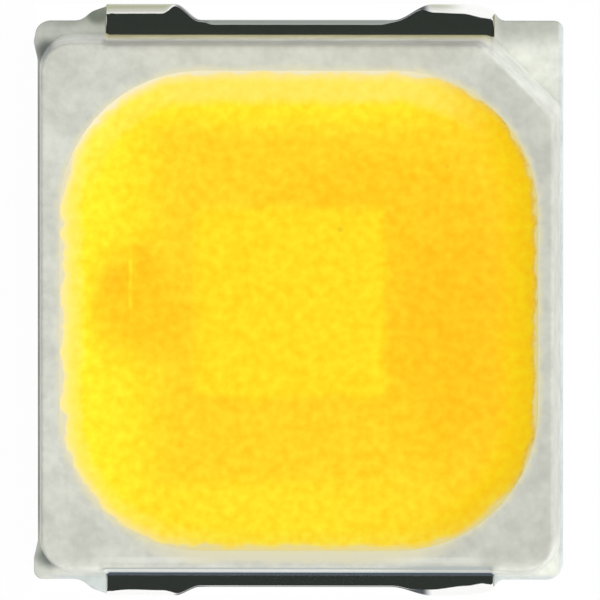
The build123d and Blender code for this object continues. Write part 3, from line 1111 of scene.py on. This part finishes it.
def paint_grains(shade, band):
    """Phosphor grains: noise that changes the green a little and the blue more, less in the band."""
    blotches = (shade.noise(0.13) - 0.5) * 0.22
    grains = (shade.noise(0.052, 1.6, 0.45) - 0.5 + blotches) * (1.0 - band * 0.6)
    tones = {0: 1.0, 1: grains * 0.40 + 1.0, 2: grains * 2.0 + 1.0}
    inputs = {0: shade.colour, 1: shade.node("ShaderNodeCombineXYZ", tones).outputs[0]}
    shade.colour = shade.node("ShaderNodeVectorMath", inputs, operation="MULTIPLY").outputs[0]


def paint_lip(shade, settings, y, inward, wander, sunny, top_left):
    """The film at the edge, lit at the left and top, dim below and stippled at the right, and the lip."""
    film = largest(inward.step(0.07, -0.012) * sunny, inward.step(0.045, -0.012))
    brown = shade.mix(shade.noise(0.022).step(0.35, 0.65), settings.stipple, settings.brown)
    film_colour = shade.mix(y.step(-0.85, -1.25), brown, settings.dim_cream)
    shade.paint(film, shade.mix(sunny, film_colour, settings.cream))
    lip_colour = shade.mix(sunny, settings.dim_cream, settings.wet)
    lip_light = largest(top_left, y.step(1.05, 1.25) * sunny)
    lip = (inward + wander * 0.3).step(0.019, -0.002)
    shade.paint(lip, shade.mix(lip_light, lip_colour, settings.wet_light))


def paint_specks(shade, settings, inward, spacing=0.30):
    """A brown speck in about one cell in five, kept away from the edge."""
    cells = shade.node("ShaderNodeTexVoronoi", {"Vector": shade.point, "Scale": 1 / spacing})
    chosen = shade.value("ShaderNodeSeparateColor", {0: cells.outputs["Color"]}).step(0.80, 0.82)
    speck = Value(shade, cells.outputs["Distance"]).step(0.075, 0.025) * chosen
    shade.paint(speck * (1.0 - inward.step(0.45, 0.30)) * 0.35, settings.speck)


def silicone_material(settings, housing, form):
    """Phosphor silicone: chip and protection chip showing through, pale over the sloping wall, with painted
    light and shade at its edges.
    """
    shade = Shade("phosphor_silicone", settings.middle)
    x, y, _ = shade.place()
    wander = (shade.noise(0.12, 3.0) - 0.5) * 0.12
    paint_depth(shade, settings, x + wander, y + wander)
    paint_chips(shade, settings, x, y, wander)
    inward = window_distance(x, y, housing, form) * -1.0 + wander * 0.5
    sunny = largest(x.step(-0.3, -1.0), y.step(0.5, 1.1) * x.step(1.25, 0.5))
    top_left = blob(x, y, (-0.98, 0.98), (0.42, 0.42), 0.4)
    rounds = largest(top_left, blob(x, y, (-0.86, -1.12), (0.42, 0.34), 0.4))
    band = paint_band(shade, settings, x, y, inward, rounds)
    paint_grains(shade, band)
    paint_lip(shade, settings, y, inward, wander, sunny, top_left)
    paint_specks(shade, settings, inward)
    shade.bump(shade.noise(0.06), strength=0.15, distance=0.002)
    return shade.finish(Roughness=0.40, IOR=1.42, Specular_IOR_Level=0.2)


# Inner pieces


def plain_material(name, colour_value, metallic, roughness, grain):
    """A sealed inner piece: its colour mottled by fine noise."""
    darker = tuple(value * 0.9 for value in colour_value)
    shade = Shade(name, darker)
    shade.place()
    shade.paint(shade.noise(grain), colour_value)
    return shade.finish(Metallic=metallic, Roughness=roughness)


def wear(piece, material):
    """Gives a piece one material."""
    piece.data.materials.clear()
    piece.data.materials.append(material)


# Operators


class LED_OT_housing(bpy.types.Operator):
    """Build the white moulded housing"""

    bl_idname = "led.housing"
    bl_label = "Housing"

    def execute(self, context):
        scene = context.scene
        form = HousingForm(scene.led_housing, scene.led_leads)
        piece = add_object("white_housing", housing_mesh(form))
        cathode = LeadForm(scene.led_leads, scene.led_housing, 1, spare=POCKET_SPARE)
        anode = LeadForm(scene.led_leads, scene.led_housing, -1, spare=POCKET_SPARE)
        for cutter in (pocket_mesh(cathode), pocket_mesh(anode), gate_mesh(anode)):
            cut(piece, cutter)
        soften(piece.data)
        wear(piece, moulding_material(scene.led_housing, form))
        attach(piece, BODY)
        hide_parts("housing")
        return {"FINISHED"}


class LED_OT_leads(bpy.types.Operator):
    """Build the two plated leads"""

    bl_idname = "led.leads"
    bl_label = "Leads"

    def execute(self, context):
        scene = context.scene
        material = plating_material(scene.led_leads)
        for side, node in ((1, "cathode_lead"), (-1, "anode_lead")):
            form = LeadForm(scene.led_leads, scene.led_housing, side)
            piece = add_object("plated_" + node, lead_mesh(form))
            soften(piece.data)
            wear(piece, material)
            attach(piece, BODY)
            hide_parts(node)
        return {"FINISHED"}


class LED_OT_silicone(bpy.types.Operator):
    """Build the phosphor silicone"""

    bl_idname = "led.silicone"
    bl_label = "Silicone"

    def execute(self, context):
        scene = context.scene
        form = HousingForm(scene.led_housing, scene.led_leads)
        piece = add_object("phosphor_silicone", silicone_mesh(form, scene.led_silicone))
        soften(piece.data)
        wear(piece, silicone_material(scene.led_silicone, scene.led_housing, form))
        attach(piece, BODY)
        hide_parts("phosphor_encapsulant")
        return {"FINISHED"}


class LED_OT_inner_pieces(bpy.types.Operator):
    """Finish the chips, contacts, adhesive and bond wires inside the silicone"""

    bl_idname = "led.inner_pieces"
    bl_label = "Inner pieces"

    def execute(self, context):
        gold = plain_material("bond_gold", (1.0, 0.72, 0.30), metallic=1.0, roughness=0.22, grain=0.02)
        adhesive = plain_material("attach_adhesive", (0.78, 0.78, 0.74), 0.0, roughness=0.35, grain=0.05)
        sapphire = plain_material("sapphire", (0.55, 0.63, 0.70), 0.0, roughness=0.08, grain=0.30)
        silicon = plain_material("silicon", (0.06, 0.06, 0.07), 0.0, roughness=0.12, grain=0.10)
        finishes = {"led_chip": sapphire, "zener_chip": silicon, "chip_attach": adhesive,
                    "zener_attach": adhesive}
        shown_elsewhere = ("housing", "cathode_lead", "anode_lead", "phosphor_encapsulant")
        for node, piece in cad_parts.items():
            if node not in shown_elsewhere:
                wear(piece, finishes.get(node, gold))
        return {"FINISHED"}


class LED_OT_stage(bpy.types.Operator):
    """Build the floor, lights, world and camera"""

    bl_idname = "led.stage"
    bl_label = "Stage"

    def execute(self, context):
        build_world(context.scene)
        build_floor()
        build_dark_card()
        build_lights()
        build_camera(context.scene)
        context.scene.view_settings.view_transform = "Standard"
        return {"FINISHED"}


# Stage


PHOTO_SIZE = 600
PIXELS_PER_MM = 174.7
ORIGIN_PIXEL = (301.2, 299.15)
CAMERA_TILT_X = 1.97
CAMERA_TILT_Y = 1.97
LENS = 1000.0
SENSOR = 36.0
WHITE = (1.0, 1.0, 1.0)
WORLD_STRENGTH = 0.53
FLOOR_HALF = 0.4
FLOOR_COLOUR = (0.9, 0.9, 0.9)
FLOOR_SEEN = 0.97
CARD_HALF = 0.030
CARD_HEIGHT = 0.040
CARD_COLOUR = linear(48, 53, 49)
KEY_ENERGY = 2.05
KEY_SPREAD = 80
KEY_AZIMUTH = -20
KEY_ELEVATION = 50


def build_camera(scene):
    """A long lens above the part, tilted as in the photograph.

    Its distance is the half width of the view over the tangent of half the lens's angle.
    """
    view_width = PHOTO_SIZE / PIXELS_PER_MM * MM
    distance = view_width / 2 / (SENSOR / 2 / LENS)
    offset_x = (PHOTO_SIZE / 2 - ORIGIN_PIXEL[0]) / PIXELS_PER_MM * MM
    offset_y = (ORIGIN_PIXEL[1] - PHOTO_SIZE / 2) / PIXELS_PER_MM * MM
    back = Vector((tan(radians(CAMERA_TILT_X)), tan(radians(CAMERA_TILT_Y)), 1.0)).normalized()
    data = bpy.data.cameras.new("photo_camera")
    data.lens = LENS
    data.sensor_width = SENSOR
    data.clip_start = 0.001
    data.clip_end = 10.0
    camera = bpy.data.objects.new("photo_camera", data)
    scene.collection.objects.link(camera)
    right = Vector((0, 1, 0)).cross(back).normalized()
    up = back.cross(right)
    target = right * offset_x + up * offset_y
    camera.location = target + back * distance
    camera.rotation_mode = "QUATERNION"
    camera.rotation_quaternion = Matrix((right, up, back)).transposed().to_quaternion()
    scene.camera = camera


def build_world(scene):
    """White to the camera and in reflections, and plain soft light on the object."""
    world = bpy.data.worlds.new("studio")
    world.use_nodes = True
    nodes = Nodes(world.node_tree)
    background = nodes.tree.nodes["Background"]
    inputs = {"Value": nodes.seen(), "To Min": WORLD_STRENGTH, "To Max": 1.0}
    nodes.feed(background.inputs["Strength"], nodes.value("ShaderNodeMapRange", inputs))
    nodes.feed(background.inputs["Color"], opaque(WHITE))
    scene.world = world


def build_floor():
    """A white floor that keeps the part's soft shadow, open under the part so that its underside shows."""
    low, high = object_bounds()
    half = FLOOR_HALF
    data = bpy.data.meshes.new("floor")
    corners = [(-half, -half, 0), (half, -half, 0), (half, half, 0), (-half, half, 0),
               (low[0], low[1], 0), (high[0], low[1], 0), (high[0], high[1], 0), (low[0], high[1], 0)]
    data.from_pydata(corners, [], [(0, 1, 5, 4), (1, 2, 6, 5), (2, 3, 7, 6), (3, 0, 4, 7)])
    floor = add_object("floor", data)
    shade = Shade("floor_white", FLOOR_COLOUR)
    inputs = {0: shade.seen() * FLOOR_SEEN, 1: shade.shader.outputs[0], 2: shade.glow(WHITE)}
    shade.surface(shade.node("ShaderNodeMixShader", inputs).outputs[0])
    wear(floor, shade.finish(Roughness=1.0))
    floor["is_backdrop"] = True


def build_dark_card():
    """A dark card overhead that only the part's reflections see, as a lens would look."""
    half, height = CARD_HALF, CARD_HEIGHT
    data = bpy.data.meshes.new("dark_card")
    corners = [(-half, -half, height), (-half, half, height), (half, half, height), (half, -half, height)]
    data.from_pydata(corners, [], [(0, 1, 2, 3)])
    card = add_object("dark_card", data)
    shade = Shade("card_black", CARD_COLOUR)
    shade.surface(shade.glow(CARD_COLOUR))
    wear(card, shade.material)
    for sight in ("camera", "diffuse", "shadow", "transmission"):
        setattr(card, "visible_" + sight, False)
    card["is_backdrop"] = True


def build_lights():
    """A broad soft key from the right and front, low enough to shape the walls."""
    data = bpy.data.lights.new("key", "SUN")
    data.energy = KEY_ENERGY
    data.angle = radians(KEY_SPREAD)
    key = bpy.data.objects.new("key", data)
    key.visible_glossy = False
    azimuth, elevation = radians(KEY_AZIMUTH), radians(KEY_ELEVATION)
    towards = Vector((cos(azimuth) * cos(elevation), sin(azimuth) * cos(elevation), sin(elevation)))
    key.rotation_mode = "QUATERNION"
    key.rotation_quaternion = towards.to_track_quat("Z", "Y")
    bpy.context.scene.collection.objects.link(key)


# Panel and main


class LED_PT_parts(bpy.types.Panel):
    """Sidebar panel that builds the diode piece by piece"""

    bl_idname = "LED_PT_parts"
    bl_label = "Light-emitting diode"
    bl_space_type = "VIEW_3D"
    bl_region_type = "UI"
    bl_category = "LED"

    def draw(self, context):
        for operator in OPERATORS:
            self.layout.operator(operator.bl_idname)
        for group in (context.scene.led_housing, context.scene.led_leads, context.scene.led_silicone):
            box = self.layout.box()
            for name in group.bl_rna.properties.keys():
                if name not in ("rna_type", "name"):
                    box.prop(group, name)


OPERATORS = (LED_OT_housing, LED_OT_leads, LED_OT_silicone, LED_OT_inner_pieces, LED_OT_stage)
GROUPS = {"led_housing": HousingSettings, "led_leads": LeadSettings, "led_silicone": SiliconeSettings}


def register():
    for group in GROUPS.values():
        bpy.utils.register_class(group)
    for name, group in GROUPS.items():
        setattr(bpy.types.Scene, name, PointerProperty(type=group))
    for operator in OPERATORS:
        bpy.utils.register_class(operator)
    bpy.utils.register_class(LED_PT_parts)


def unregister():
    bpy.utils.unregister_class(LED_PT_parts)
    for operator in reversed(OPERATORS):
        bpy.utils.unregister_class(operator)
    for name in GROUPS:
        delattr(bpy.types.Scene, name)
    for group in reversed(list(GROUPS.values())):
        bpy.utils.unregister_class(group)


def main():
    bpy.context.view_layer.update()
    register()
    bpy.ops.led.housing()
    bpy.ops.led.leads()
    bpy.ops.led.silicone()
    bpy.ops.led.inner_pieces()
    bpy.ops.led.stage()


if __name__ == "__main__":
    main()
